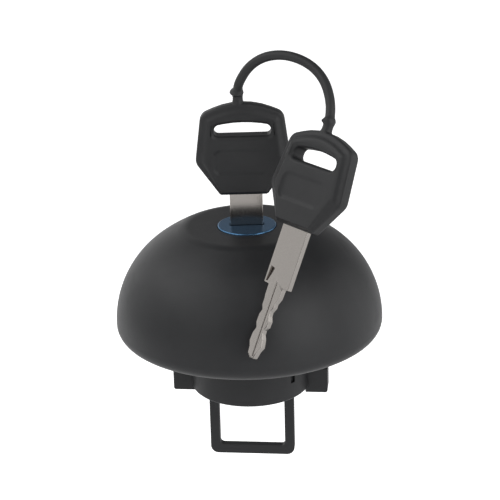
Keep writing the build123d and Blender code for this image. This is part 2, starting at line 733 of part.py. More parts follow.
key_blade_1 = key_1_plane.location * key_blade.part
key_blade_1.label = "key_blade_1"
key_blade_2 = key_2_plane.location * key_blade.part
key_blade_2.label = "key_blade_2"

head_1 = key_1_plane.location * Location((head_shift, 0, 0))
head_2 = key_2_plane.location * Location((head_shift, 0, 0))
bead_1 = (head_1 * Location((stub_x, 0, head_h + stub_h))).position
bead_2 = (head_2 * Location((stub_x, 0, head_h + stub_h))).position
strap_span = bead_2 - bead_1
strap_corners = [bead_1 + strap_span * share + Vector(out, 0, rise) for share, out, rise in strap_path]
with BuildPart() as key_heads:
    with BuildLine():
        strap_line = FilletPolyline(bead_1, *strap_corners, bead_2, radius=strap_bends)
    with BuildSketch(Plane(origin=strap_line @ 0, z_dir=strap_line % 0)):
        Circle(strap_r)
    sweep()
    add(head_1 * key_head.part)
    add(head_2 * key_head.part)
key_heads.part.label = "key_heads"

# ================================================================ files
pieces = [
    dome_cover.part,
    bayonet_insert.part,
    slip_ring.part,
    gasket.part,
    pressure_ring.part,
    pressure_spring,
    lock_housing.part,
    lock_plug.part,
    wafer_tumblers.part,
    lock_face.part,
    lock_cam.part,
    cam_washer.part,
    cam_screw.part,
    locking_bolt.part,
    bolt_guide.part,
    guide_screws.part,
    bottom_plate.part,
    plate_seal.part,
    vent_valve_disc.part,
    vent_valve_spring,
    vent_valve_cap.part,
    key_blade_1,
    key_blade_2,
    key_heads.part,
]
os.makedirs("parts", exist_ok=True)
for piece in pieces:
    export_step(piece, f"parts/{piece.label}.step")
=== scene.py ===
"""Looks for the locking fuel filler cap: moulded dome, blue lock disc, neck insert and two keys.

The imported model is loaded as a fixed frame. Metres, +Z up, origin on the cap's axis in the
plane of the gasket's lower face. Pieces that need softer edges than their packed ones are
rebuilt here and stand in for them; every other node keeps its own mesh and gets its finish.
"""

import math

import bmesh
import bpy
from mathutils import Matrix, Vector


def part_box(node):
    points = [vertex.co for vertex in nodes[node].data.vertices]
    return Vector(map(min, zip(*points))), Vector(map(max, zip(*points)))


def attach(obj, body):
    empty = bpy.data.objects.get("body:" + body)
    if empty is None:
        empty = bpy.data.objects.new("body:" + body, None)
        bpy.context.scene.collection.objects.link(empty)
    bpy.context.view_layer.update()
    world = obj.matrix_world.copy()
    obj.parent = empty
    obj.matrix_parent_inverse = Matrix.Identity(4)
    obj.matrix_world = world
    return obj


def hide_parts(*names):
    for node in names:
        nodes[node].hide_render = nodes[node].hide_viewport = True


MM = 0.001
LEAST_BEND = 0.02           # millimetres, for corners that are drawn sharp

CAMERA_PITCH, CAMERA_ROLL = math.radians(21.0), math.radians(1.58)
CAMERA_AT = (0.77, -548.8, 237.1)   # millimetres
CAMERA_LENS = 129.3

COVE_FADE = (0.0, 0.5)      # rise of the direction over which the cove dims up to the ceiling
COVE, CEILING, FILL = 0.6, 0.15, 0.15
FILL_TONE = (0.95, 0.97, 1.0, 1)
SOFT_BOX_SIZE = 0.8         # metres, like the rest of the studio
SOFT_BOX_AIM = (0, 0, 0.01)
SOFT_BOXES = (              # degrees round from the front, degrees up, watts; each a metre away
    (46, 19, 3.6),
    (50, 48, 2.0),
    (100, 14, 1.6),
    (-45, 16, 1.0),
    (-50, 48, 2.1),
    (-105, 24, 1.3),
    (-100, 50, 2.4),
    (-150, 14, 1.1),
)
FLOOR_HALF, FLOOR_Z = 3.0, -0.115
FLOOR_TONE = (0.85, 0.85, 0.85, 1)
FLOOR_LIFT, FLOOR_GLOSS_LIFT = 0.75, 0.3

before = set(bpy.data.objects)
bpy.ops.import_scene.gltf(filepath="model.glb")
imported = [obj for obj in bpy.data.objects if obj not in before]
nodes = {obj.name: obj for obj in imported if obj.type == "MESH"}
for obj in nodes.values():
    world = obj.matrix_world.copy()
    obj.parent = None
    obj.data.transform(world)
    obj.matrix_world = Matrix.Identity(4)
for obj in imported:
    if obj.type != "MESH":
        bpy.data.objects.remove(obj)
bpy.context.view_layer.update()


def math_node(tree, operation, first, second=None, clamp=False):
    """A math node fed by sockets or numbers; gives its output socket."""
    node = tree.nodes.new("ShaderNodeMath")
    node.operation = operation
    node.use_clamp = clamp
    for index, value in enumerate((first, second)):
        if value is None:
            continue
        if isinstance(value, (int, float)):
            node.inputs[index].default_value = value
        else:
            tree.links.new(value, node.inputs[index])
    return node.outputs[0]


# ---------------------------------------------------------------- camera, floor and light
def aim_camera():
    """The camera looks down on the cap from the front, with a slight roll."""
    back = Vector((0, -math.cos(CAMERA_PITCH), math.sin(CAMERA_PITCH)))
    level = Vector((1, 0, 0))
    over = Vector((0, math.sin(CAMERA_PITCH), math.cos(CAMERA_PITCH)))
    right = level * math.cos(CAMERA_ROLL) - over * math.sin(CAMERA_ROLL)
    up = level * math.sin(CAMERA_ROLL) + over * math.cos(CAMERA_ROLL)
    data = bpy.data.cameras.new("Product camera")
    data.lens = CAMERA_LENS
    data.clip_start, data.clip_end = 0.05, 20
    camera = bpy.data.objects.new("Product camera", data)
    bpy.context.scene.collection.objects.link(camera)
    turn = Matrix((right, up, back)).transposed().to_4x4()
    camera.matrix_world = Matrix.Translation(Vector(CAMERA_AT) * MM) @ turn
    bpy.context.scene.camera = camera


def soft_box(name, at, power):
    """A square studio lamp that faces the cap."""
    data = bpy.data.lights.new(name, "AREA")
    data.shape = "RECTANGLE"
    data.size = data.size_y = SOFT_BOX_SIZE
    data.energy = power
    lamp = bpy.data.objects.new(name, data)
    bpy.context.scene.collection.objects.link(lamp)
    lamp.location = at
    lamp.rotation_mode = "QUATERNION"
    lamp.rotation_quaternion = (Vector(SOFT_BOX_AIM) - Vector(at)).to_track_quat("-Z", "Y")


def background_rays(tree):
    """1 for rays that show the surroundings: straight from the camera, in gloss or through glass."""
    path = tree.nodes.new("ShaderNodeLightPath")
    shown = math_node(tree, "MAXIMUM", path.outputs["Is Camera Ray"], path.outputs["Is Glossy Ray"])
    return math_node(tree, "MAXIMUM", shown, path.outputs["Is Transmission Ray"])


def studio():
    """A white cove that darkens to a dim ceiling, and soft lamps."""
    world = bpy.data.worlds.new("White cove under a dim ceiling")
    bpy.context.scene.world = world
    world.use_nodes = True
    tree = world.node_tree
    tree.nodes.clear()
    out = tree.nodes.new("ShaderNodeOutputWorld")
    way = tree.nodes.new("ShaderNodeTexCoord")
    parts = tree.nodes.new("ShaderNodeSeparateXYZ")
    tree.links.new(way.outputs["Generated"], parts.inputs[0])
    cove = tree.nodes.new("ShaderNodeMapRange")
    cove.interpolation_type = "SMOOTHSTEP"
    tree.links.new(parts.outputs["Z"], cove.inputs["Value"])
    cove.inputs["From Min"].default_value, cove.inputs["From Max"].default_value = COVE_FADE
    cove.inputs["To Min"].default_value, cove.inputs["To Max"].default_value = COVE, CEILING
    path = tree.nodes.new("ShaderNodeLightPath")
    seen = tree.nodes.new("ShaderNodeBackground")
    shown = math_node(tree, "MAXIMUM", path.outputs["Is Camera Ray"], cove.outputs["Result"])
    tree.links.new(shown, seen.inputs["Strength"])
    fill = tree.nodes.new("ShaderNodeBackground")
    fill.inputs["Color"].default_value = FILL_TONE
    fill.inputs["Strength"].default_value = FILL
    pick = tree.nodes.new("ShaderNodeMixShader")
    tree.links.new(background_rays(tree), pick.inputs[0])
    tree.links.new(fill.outputs[0], pick.inputs[1])
    tree.links.new(seen.outputs[0], pick.inputs[2])
    tree.links.new(pick.outputs[0], out.inputs["Surface"])

    for number, (round_from_front, up, power) in enumerate(SOFT_BOXES, 1):
        turn, up = math.radians(round_from_front), math.radians(up)
        at = (math.cos(up) * math.sin(turn), -math.cos(up) * math.cos(turn), math.sin(up))
        soft_box(f"Softbox {number}", at, power)


def pale_floor():
    """A wide white floor below the cap; it shows the shadow and nothing from its underside."""
    mesh = bpy.data.meshes.new("Studio floor")
    corners = [(x * FLOOR_HALF, y * FLOOR_HALF, FLOOR_Z) for x, y in ((-1, -1), (1, -1), (1, 1), (-1, 1))]
    mesh.from_pydata(corners, [], [(0, 1, 2, 3)])
    floor = bpy.data.objects.new("Studio_floor", mesh)
    bpy.context.scene.collection.objects.link(floor)
    finish = bpy.data.materials.new("White studio floor")
    finish.use_nodes = True
    tree = finish.node_tree
    tree.nodes.clear()
    out = tree.nodes.new("ShaderNodeOutputMaterial")
    paper = tree.nodes.new("ShaderNodeBsdfDiffuse")
    paper.inputs["Color"].default_value = FLOOR_TONE
    lift = tree.nodes.new("ShaderNodeEmission")
    path = tree.nodes.new("ShaderNodeLightPath")
    straight = math_node(tree, "MULTIPLY", path.outputs["Is Camera Ray"], FLOOR_LIFT)
    shown = math_node(tree, "MULTIPLY", background_rays(tree), FLOOR_GLOSS_LIFT)
    tree.links.new(math_node(tree, "MAXIMUM", straight, shown), lift.inputs["Strength"])
    both = tree.nodes.new("ShaderNodeAddShader")
    tree.links.new(paper.outputs[0], both.inputs[0])
    tree.links.new(lift.outputs[0], both.inputs[1])
    clear = tree.nodes.new("ShaderNodeBsdfTransparent")
    side = tree.nodes.new("ShaderNodeNewGeometry")
    pick = tree.nodes.new("ShaderNodeMixShader")
    tree.links.new(side.outputs["Backfacing"], pick.inputs[0])
    tree.links.new(both.outputs[0], pick.inputs[1])
    tree.links.new(clear.outputs[0], pick.inputs[2])
    tree.links.new(pick.outputs[0], out.inputs["Surface"])
    mesh.materials.append(finish)


# ---------------------------------------------------------------- shader node groups
def new_group(name, inputs, outputs):
    """An empty shader node group with float inputs (name, value, low, high) and named outputs."""
    group = bpy.data.node_groups.new(name, "ShaderNodeTree")
    for label, value, low, high in inputs:
        socket = group.interface.new_socket(label, in_out="INPUT", socket_type="NodeSocketFloat")
        socket.default_value, socket.min_value, socket.max_value = value, low, high
    for label in outputs:
        group.interface.new_socket(label, in_out="OUTPUT", socket_type="NodeSocketFloat")
    way_in = group.nodes.new("NodeGroupInput")
    way_out = group.nodes.new("NodeGroupOutput")
    return group, way_in, way_out


def noise(tree, place, scale, detail=3.0, rough=0.55):
    """A noise texture on a place socket; gives its value output."""
    node = tree.nodes.new("ShaderNodeTexNoise")
    node.inputs["Detail"].default_value = detail
    node.inputs["Roughness"].default_value = rough
    tree.links.new(place, node.inputs["Vector"])
    if isinstance(scale, (int, float)):
        node.inputs["Scale"].default_value = scale
    else:
        tree.links.new(scale, node.inputs["Scale"])
    return node.outputs["Fac"]


def object_place(tree):
    return tree.nodes.new("ShaderNodeTexCoord").outputs["Object"]


def build_mould_grain():
    """Fine spark-eroded grain, with slow changes of gloss where hands have been."""
    group, way_in, way_out = new_group(
        "Mould grain",
        [("Grain per metre", 2600, 10, 50000), ("Gloss change", 0.08, 0, 1), ("Handling", 0.3, 0, 1)],
        ["Height", "Roughness change"],
    )
    place = object_place(group)
    fine = noise(group, place, way_in.outputs["Grain per metre"], 2.0, 0.6)
    slow = noise(group, place, 38, 4.0, 0.6)
    touch = noise(group, place, 120, 3.0, 0.65)
    touched = math_node(group, "SUBTRACT", touch, 0.52, True)
    handled = math_node(group, "MULTIPLY", touched, way_in.outputs["Handling"])
    uneven = math_node(group, "SUBTRACT", slow, 0.5)
    change = math_node(group, "MULTIPLY", uneven, way_in.outputs["Gloss change"])
    group.links.new(fine, way_out.inputs["Height"])
    group.links.new(math_node(group, "ADD", change, handled), way_out.inputs["Roughness change"])
    return group


def build_drawn_lines():
    """Fine parallel lines left by rolling, grinding or turning, along a chosen axis."""
    stretches = [(f"Stretch {axis}", 1, 0, 1000) for axis in "XYZ"]
    group, way_in, way_out = new_group(
        "Drawn lines", [("Lines per metre", 4000, 10, 90000), *stretches], ["Height", "Streak"]
    )
    mapping = group.nodes.new("ShaderNodeVectorMath")
    mapping.operation = "MULTIPLY"
    pack = group.nodes.new("ShaderNodeCombineXYZ")
    for axis in "XYZ":
        group.links.new(way_in.outputs[f"Stretch {axis}"], pack.inputs[axis])
    group.links.new(object_place(group), mapping.inputs[0])
    group.links.new(pack.outputs[0], mapping.inputs[1])
    lines = noise(group, mapping.outputs[0], way_in.outputs["Lines per metre"], 3.0, 0.7)
    group.links.new(lines, way_out.inputs["Height"])
    group.links.new(lines, way_out.inputs["Streak"])
    return group


MOULD_GRAIN = build_mould_grain()
DRAWN_LINES = build_drawn_lines()


def start_material(name):
    finish = bpy.data.materials.new(name)
    finish.use_nodes = True
    tree = finish.node_tree
    tree.nodes.clear()
    out = tree.nodes.new("ShaderNodeOutputMaterial")
    shader = tree.nodes.new("ShaderNodeBsdfPrincipled")
    tree.links.new(shader.outputs[0], out.inputs["Surface"])
    return finish, tree, shader


def use_group(tree, group, **values):
    node = tree.nodes.new("ShaderNodeGroup")
    node.node_tree = group
    for label, value in values.items():
        node.inputs[label.replace("_", " ")].default_value = value
    return node


def two_tones(tree, factor, dark, light):
    """Base colour between two tones, led by a factor socket."""
    ramp = tree.nodes.new("ShaderNodeValToRGB")
    ramp.color_ramp.elements[0].color = (*dark, 1)
    ramp.color_ramp.elements[1].color = (*light, 1)
    ramp.color_ramp.elements[0].position = 0.3
    ramp.color_ramp.elements[1].position = 0.7
    tree.links.new(factor, ramp.inputs[0])
    return ramp.outputs[0]


def bump(tree, shader, height, distance):
    node = tree.nodes.new("ShaderNodeBump")
    node.inputs["Distance"].default_value = distance
    node.inputs["Strength"].default_value = 1.0
    tree.links.new(height, node.inputs["Height"])
    tree.links.new(node.outputs[0], shader.inputs["Normal"])


def moulded(name, dark, light, rough, grain=2600, depth=0.00002, ior=1.48):
    """Moulded plastic: near-even colour, fine grain and slow changes of gloss."""
    finish, tree, shader = start_material(name)
    grains = use_group(tree, MOULD_GRAIN, Grain_per_metre=grain, Gloss_change=0.12, Handling=0.3)
    clouds = noise(tree, object_place(tree), 60, 5.0, 0.6)
    roughness = math_node(tree, "ADD", grains.outputs["Roughness change"], rough, True)
    tree.links.new(two_tones(tree, clouds, dark, light), shader.inputs["Base Color"])
    tree.links.new(roughness, shader.inputs["Roughness"])
    bump(tree, shader, grains.outputs["Height"], depth)
    shader.inputs["IOR"].default_value = ior
    return finish


def metal(name, dark, light, rough, lines=9000, stretch=(1, 1, 0.03), depth=0.000004, metallic=1.0):
    """Metal with fine drawn or ground lines."""
    finish, tree, shader = start_material(name)
    along = {f"Stretch_{axis}": share for axis, share in zip("XYZ", stretch)}
    drawn = use_group(tree, DRAWN_LINES, Lines_per_metre=lines, **along)
    tree.links.new(two_tones(tree, drawn.outputs["Streak"], dark, light), shader.inputs["Base Color"])
    ridges = math_node(tree, "MULTIPLY", drawn.outputs["Streak"], 0.2)
    tree.links.new(math_node(tree, "ADD", ridges, rough - 0.1, True), shader.inputs["Roughness"])
    bump(tree, shader, drawn.outputs["Height"], depth)
    shader.inputs["Metallic"].default_value = metallic
    return finish


DOME_PLASTIC = moulded("Dome plastic", (0.015, 0.0155, 0.017), (0.021, 0.0215, 0.023), 0.42, ior=1.4)
NECK_PLASTIC = moulded("Neck plastic", (0.016, 0.0165, 0.018), (0.022, 0.0225, 0.024), 0.48, ior=1.4)
KEY_PLASTIC = moulded("Key head plastic", (0.018, 0.0183, 0.0195), (0.026, 0.0263, 0.0275), 0.46, ior=1.4)
GUIDE_PLASTIC = moulded("Bolt guide nylon", (0.05, 0.05, 0.052), (0.07, 0.07, 0.07), 0.5)
SLIP_PLASTIC = moulded("Slip ring acetal", (0.66, 0.65, 0.6), (0.74, 0.73, 0.68), 0.4)
GASKET_RUBBER = moulded("Gasket rubber", (0.012, 0.012, 0.012), (0.02, 0.02, 0.02), 0.72, 1800, 0.00004)
DISC_BLUE = metal(
    "Blue anodised disc", (0.065, 0.165, 0.3), (0.09, 0.2, 0.35), 0.24,
    lines=6000, stretch=(1, 1, 1), depth=0.000003, metallic=0.85,
)
SPRING_STEEL = metal("Spring steel", (0.42, 0.42, 0.42), (0.55, 0.55, 0.54), 0.3)
ZINC = metal("Die cast zinc", (0.40, 0.40, 0.41), (0.52, 0.52, 0.53), 0.42, 3000, (1, 1, 1), 0.00001)
BRASS = metal("Wafer brass", (0.62, 0.44, 0.20), (0.76, 0.58, 0.30), 0.3)
SCREW_STEEL = metal("Zinc plated steel", (0.52, 0.52, 0.54), (0.66, 0.66, 0.68), 0.28)
KEY_NICKEL = metal("Nickel plated blade", (0.31, 0.29, 0.27), (0.39, 0.365, 0.345), 0.17)


# ---------------------------------------------------------------- mesh making, in millimetres
def rounded_outline(corners, inset=0.0, steps=6):
    """Points (x, z) round an outline, moved in by inset.

    The corners (x, z, radius, share) run anticlockwise; share is how much of the inset
    reaches that corner.
    """
    points = []
    for index, (x, z, radius, share) in enumerate(corners):
        here = Vector((x, z))
        way_in = (here - Vector(corners[index - 1][:2])).normalized()
        way_out = (Vector(corners[(index + 1) % len(corners)][:2]) - here).normalized()
        turn = math.atan2(way_in.cross(way_out), way_in.dot(way_out))
        left_in = Vector((-way_in.y, way_in.x))
        left_out = Vector((-way_out.y, way_out.x))
        side = 1 if turn >= 0 else -1
        bend = max(radius - side * inset * share, LEAST_BEND)
        middle = (left_in + left_out) / (1 + left_in.dot(left_out))
        centre = here + middle * (inset * share + side * bend)
        for step in range(steps + 1):
            ray = Matrix.Rotation(turn * step / steps, 2) @ left_in
            points.append(centre - ray * bend * side)
    return points


def circle_outline(radius, steps):
    turns = [2 * math.pi * step / steps for step in range(steps)]
    return [Vector((radius * math.cos(turn), radius * math.sin(turn))) for turn in turns]


class Shell:
    """A closed mesh made of loops of points, bands between two loops and fields inside loops."""

    def __init__(self, place=None):
        self.work = bmesh.new()
        self.place = place or Matrix.Identity(4)

    def loop(self, points):
        return [self.work.verts.new(self.place @ Vector(point)) for point in points]

    def upright(self, outline, y):
        """A loop that stands in the local XZ plane at y."""
        return self.loop([(x, y, z) for x, z in outline])

    def level(self, outline, z):
        """A loop that lies level at z."""
        return self.loop([(x, y, z) for x, y in outline])

    def band(self, *loops):
        """Walls between each loop and the next."""
        for first, second in zip(loops, loops[1:]):
            for index in range(len(first)):
                after = (index + 1) % len(first)
                self.work.faces.new((first[index], first[after], second[after], second[index]))

    def field(self, *loops):
        """The flat surface inside the first loop and outside the others."""
        edges = []
        for points in loops:
            for index, point in enumerate(points):
                ends = (points[index - 1], point)
                edges.append(self.work.edges.get(ends) or self.work.edges.new(ends))
        bmesh.ops.triangle_fill(self.work, use_beauty=True, use_dissolve=False, edges=edges)

    def finish(self, name, sharp_over=35.0):
        """The finished piece in metres; edges that turn by more degrees than sharp_over stay sharp."""
        bmesh.ops.recalc_face_normals(self.work, faces=self.work.faces)
        bmesh.ops.scale(self.work, vec=(MM, MM, MM), verts=self.work.verts)
        mesh = bpy.data.meshes.new(name)
        self.work.to_mesh(mesh)
        self.work.free()
        mesh.shade_smooth()
        mesh.set_sharp_from_angle(angle=math.radians(sharp_over))
        piece = bpy.data.objects.new(name, mesh)
        bpy.context.scene.collection.objects.link(piece)
        return piece


def fuse(base, *others):
    """Joins closed pieces into one skin, and removes the others."""
    for other in others:
        union = base.modifiers.new("Fuse", "BOOLEAN")
        union.operation = "UNION"
        union.solver = "EXACT"
        union.object = other
    bpy.context.view_layer.update()
    fused = bpy.data.meshes.new_from_object(base.evaluated_get(bpy.context.evaluated_depsgraph_get()))
    base.modifiers.clear()
    base.data = fused
    for other in others:
        bpy.data.objects.remove(other)
    return base


def even_normals(piece):
    """Lets the large flats set the shading where they meet rounded edges."""
    weigh = piece.modifiers.new("Even normals", "WEIGHTED_NORMAL")
    weigh.keep_sharp = True


def put_on(piece, finish, body, slot, *nodes):
    """Gives a piece its finish and body, and lets it stand for its nodes."""
    piece.data.materials.clear()
    piece.data.materials.append(finish)
    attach(piece, body)
    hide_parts(*nodes)


# ---------------------------------------------------------------- key heads and their strap
KEY_ROOT_Z = 46.243         # lower edge of the first key's head
KEY_2_ROOT = (15.6, -36.7, KEY_ROOT_Z + 0.75)
KEY_2_LEAN, KEY_2_BACK, KEY_2_YAW = (math.radians(angle) for angle in (20.1, 16.6, -45.0))

HEAD_SHIFT = -0.6           # the head sits a little off the blade's centre
HEAD_TOP = 30.5
HEAD_CORNERS = (            # as rounded_outline takes them, in the key's frame
    (7.7, 0.0, 1.2, 0.4),
    (15.4, 11.0, 4.0, 1),
    (13.3, 27.0, 3.6, 1),
    (0.0, 32.6, 24.0, 1),
    (-13.3, 27.0, 3.6, 1),
    (-15.4, 11.0, 4.0, 1),
    (-7.7, 0.0, 1.2, 0.4),
)
PAD_TOP = 3.25              # height of the raised pad over the head's middle plane
HEAD_EDGE = (               # (inset, height) from the side wall over the slab, up on to the pad
    (0.0, 0.9),
    (0.04, 1.25),
    (0.16, 1.55),
    (0.4, 1.8),
    (0.75, 1.97),
    (1.15, 2.07),
    (1.5, 2.17),
    (1.85, 2.34),
    (2.15, 2.57),
    (2.45, 2.82),
    (2.75, 3.02),
    (3.1, 3.16),
    (3.45, 3.23),
    (3.8, PAD_TOP),
)

SLOT_CORNERS = (
    (9.1, 19.95, 1.5, 1),
    (9.1, 23.4, 2.0, 1),
    (0.0, 25.45, 40.0, 1),
    (-9.1, 23.4, 2.0, 1),
    (-9.1, 19.95, 1.5, 1),
)
SLOT_EDGE = (          # (outset, height) from the opening out to the pad
    (0.0, 1.9),
    (0.07, 2.3),
    (0.25, 2.65),
    (0.55, 2.92),
    (0.9, 3.1),
    (1.2, 3.19),
    (1.32, PAD_TOP),
)

PANEL_HALF, PANEL_LOW, PANEL_H = 9.7, 7.2, 8.6
PANEL_CORNERS = (
    (PANEL_HALF, PANEL_LOW, 3.5, 1),
    (PANEL_HALF, PANEL_LOW + PANEL_H, 3.5, 1),
    (-PANEL_HALF, PANEL_LOW + PANEL_H, 2.6, 1),
    (-PANEL_HALF, PANEL_LOW, 2.2, 1),
)
PANEL_DIP = (               # (inset, depth) where the panel is deepest
    (-0.25, 0.0),
    (-0.05, 0.06),
    (0.2, 0.24),
    (0.5, 0.5),
    (0.75, 0.68),
    (0.95, 0.77),
    (1.25, 0.82),
    (1.7, 0.83),
)
SCOOP_START, SCOOP_END = -8.5, 0.0  # the panel is a scoop that runs out from one end towards the middle
SCOOP_LOST_ALONG, SCOOP_LOST_UP = 0.93, 0.5

STUB_X = -1.2               # the strap leaves the head a little to one side
STUB_SINK = 1.4             # its ends start this far inside the heads
BEAD_UP = 3.4               # middle of the bead above the head
BEAD_OUT, BEAD_HALF_TALL, BEAD_ASIDE = 0.68, 0.85, 0.34
STUB_EXTRA_R = 0.1          # the stub is this much thicker than the strap
FLARE_R, FLARE_TALL = 0.32, 0.45
STRAP_R = 1.52
STRAP_PATH = (              # share of the way between the beads, sideways, height
    (0.07, -1.6, 3.6),
    (0.11, 0.7, 9.4),
    (0.18, 4.0, 13.2),
    (0.30, 7.5, 14.6),
    (0.46, 9.9, 13.0),
    (0.65, 8.8, 9.6),
    (0.85, 4.8, 4.6),
)


def key_places():
    """Local frames of the two keys: X across the blade, Y through it, Z up to the head."""
    lean, back, yaw = KEY_2_LEAN, KEY_2_BACK, KEY_2_YAW
    across = Vector((math.cos(lean), -math.sin(lean) * math.sin(back), -math.sin(lean) * math.cos(back)))
    through = Vector((0, math.cos(back), -math.sin(back)))
    along = Vector((math.sin(lean), math.cos(lean) * math.sin(back), math.cos(lean) * math.cos(back)))
    x_axis = across * math.cos(yaw) + through * math.sin(yaw)
    y_axis = along.cross(x_axis)
    turn = Matrix((x_axis, y_axis, along)).transposed().to_4x4()
    return Matrix.Translation((0, 0, KEY_ROOT_Z)), Matrix.Translation(KEY_2_ROOT) @ turn


def scoop_share(along, up):
    """How much of the scoop's depth is left here: all of it low at its start, least at the far top."""
    share = min(1.0, max(0.0, (along - SCOOP_START) / (SCOOP_END - SCOOP_START)))
    smooth = share * share * (3 - 2 * share)
    return (1 - SCOOP_LOST_ALONG * smooth) * (1 - SCOOP_LOST_UP * (up - PANEL_LOW) / PANEL_H)


def key_head(place, name):
    """One moulded head: slab, raised pads, ring slot and the sunk panels."""
    shell = Shell(place)
    walls, slot_walls = [], []
    for side in (-1, 1):
        edge = [shell.upright(rounded_outline(HEAD_CORNERS, inset), side * y) for inset, y in HEAD_EDGE]
        slot = [shell.upright(rounded_outline(SLOT_CORNERS, -out), side * y) for out, y in SLOT_EDGE]
        panel = [
            shell.loop([
                (x, side * (PAD_TOP - deep * scoop_share(x * -side, z)), z)
                for x, z in rounded_outline(PANEL_CORNERS, inset)
            ])
            for inset, deep in PANEL_DIP
        ]
        shell.band(*edge)
        shell.band(*slot)
        shell.band(*panel)
        shell.field(edge[-1], slot[-1], panel[0])
        shell.field(panel[-1])
        walls.append(edge[0])
        slot_walls.append(slot[0])
    shell.band(*walls)
    shell.band(*slot_walls)
    return shell.finish(name)


def smooth_line(points, steps=10):
    """Points along a smooth curve that is led by the given ones."""
    data = bpy.data.curves.new("Lead line", "CURVE")
    data.dimensions = "3D"
    spline = data.splines.new("NURBS")
    spline.points.add(len(points) - 1)
    for knot, point in zip(spline.points, points):
        knot.co = (*point, 1)
    spline.order_u = 3
    spline.use_endpoint_u = True
    spline.resolution_u = steps
    lead = bpy.data.objects.new("Lead line", data)
    bpy.context.scene.collection.objects.link(lead)
    mesh = bpy.data.meshes.new_from_object(lead)
    line = [vertex.co.copy() for vertex in mesh.vertices]
    bpy.data.meshes.remove(mesh)
    bpy.data.objects.remove(lead)
    return line


def strap_lead(heads):
    """Points that lead the strap's middle line, from inside one head to inside the other."""
    beads = [head @ Vector((0, 0, BEAD_UP)) for head in heads]
    span = beads[1] - beads[0]
    heights = (-STUB_SINK, 1.2)
    lead = [heads[0] @ Vector((0, 0, height)) for height in heights] + [beads[0]]
    lead += [beads[0] + span * share + Vector((out, 0, rise)) for share, out, rise in STRAP_PATH]
    return lead + [beads[1]] + [heads[1] @ Vector((0, 0, height)) for height in reversed(heights)]


def strap(places):
    """The round strap, flared where it leaves each head, with a lopsided bead on each stub."""
    heads = [place @ Matrix.Translation((HEAD_SHIFT + STUB_X, 0, HEAD_TOP)) for place in places]
    line = smooth_line(strap_lead(heads))
    lengths = [0.0]
    for first, second in zip(line, line[1:]):
        lengths.append(lengths[-1] + (second - first).length)
    shell = Shell()
    loops = []
    side = Vector((1, 0, 0))
    for index, point in enumerate(line):
        way = (line[min(index + 1, len(line) - 1)] - line[max(index - 1, 0)]).normalized()
        side = (side - way * side.dot(way)).normalized()
        over = way.cross(side)
        near_start = lengths[index] < lengths[-1] / 2
        head = heads[0] if near_start else heads[1]
        up = (lengths[index] if near_start else lengths[-1] - lengths[index]) - STUB_SINK
        bead = math.exp(-(((up - BEAD_UP) / BEAD_HALF_TALL) ** 2))
        stub = STUB_EXTRA_R / (1 + math.exp((up - BEAD_UP) * 3))
        flare = FLARE_R * math.exp(-max(up, 0) / FLARE_TALL)
        ring = circle_outline(STRAP_R + stub + flare + BEAD_OUT * bead, 20)
        middle = point + head.to_3x3() @ Vector((-BEAD_ASIDE, 0, 0)) * bead
        loops.append(shell.loop([middle + (side * x + over * y) for x, y in ring]))
    shell.band(*loops)
    shell.field(loops[0])
    shell.field(loops[-1])
    return shell.finish("Key_strap")


def key_heads_and_strap():
    """Both heads and the strap, one moulding."""
    places = key_places()
    shift = Matrix.Translation((HEAD_SHIFT, 0, 0))
    heads = [key_head(place @ shift, f"Key_head_{number}") for number, place in enumerate(places, 1)]
    piece = fuse(heads[0], heads[1], strap(places))
    piece.name = piece.data.name = "Key_heads_and_strap"
    even_normals(piece)
    put_on(piece, KEY_PLASTIC, "keys", "key_plastic", "key_heads")


# ---------------------------------------------------------------- key blades
SHOULDER_HALF, SHOULDER_LEN = 5.35, 18.8
SHOULDER_TOP = 0.5          # the shoulder ends this far up inside the head
TANG_HALF, TANG_H = 4.0, 9.0
BIT_HALF, BIT_LEN = 3.15, 23.2
TIP_Z = -SHOULDER_LEN - BIT_LEN
LEFT_CUTS = (               # outline down the left of the bit, from the shoulder to the tip
    (-BIT_HALF, -19.9),
    (-3.1, -22.4),
    (-2.9, -23.3),
    (-2.9, -25.4),
    (-2.2, -26.9),
    (-2.85, -28.4),
    (-2.95, -31.1),
    (-2.2, -32.7),
    (-2.95, -34.6),
    (-BIT_HALF, -37.2),
    (-2.4, -38.9),
    (-2.2, -40.9),
)
RIGHT_CUTS = (              # down the right, the same way
    (3.1, -19.6),
    (2.9, -22.2),
    (2.0, -24.1),
    (2.1, -25.2),
    (1.2, -26.9),
    (1.3, -28.1),
    (2.0, -29.6),
    (1.9, -31.6),
    (1.0, -32.8),
    (1.05, -34.0),
    (1.85, -35.3),
    (2.45, -37.9),
    (1.45, -39.6),
)
TIP = ((-1.0, TIP_Z), (0.8, TIP_Z))
CUT_ROUND = 0.25
BIT_SHARE = 0.4             # of the edge rounding that is left between the cuts
BLADE_HALF_T = 0.9
BLADE_EDGE = ((0.0, 0.7), (0.05, 0.82), (0.13, 0.88), (0.24, BLADE_HALF_T))     # (inset, height)
BLADE_2_ASIDE = 0.4         # the second blade sits a little to one side in its head
CUTTER_MARK = ((-4.75, -18.2), (-4.0, -18.1), (-2.5, -13.7), (-4.4, -13.3))     # pocket in the shoulder
CUTTER_MARK_DEEP = (0.8, 0.3, 0.05, 0.8)
CUTTER_MARK_LEAN = 0.02     # of the pocket's walls
GROOVE_HALF, GROOVE_ROUND = 0.3, 0.06
GROOVE_PAST_SHOULDER, GROOVE_SHORT_OF_TIP = 1.6, 0.7
GROOVE_EDGE = ((0.0, BLADE_HALF_T, 0.0), (0.09, 0.78, 0.3), (0.19, 0.58, 1.2))  # (inset, height, end ramp)


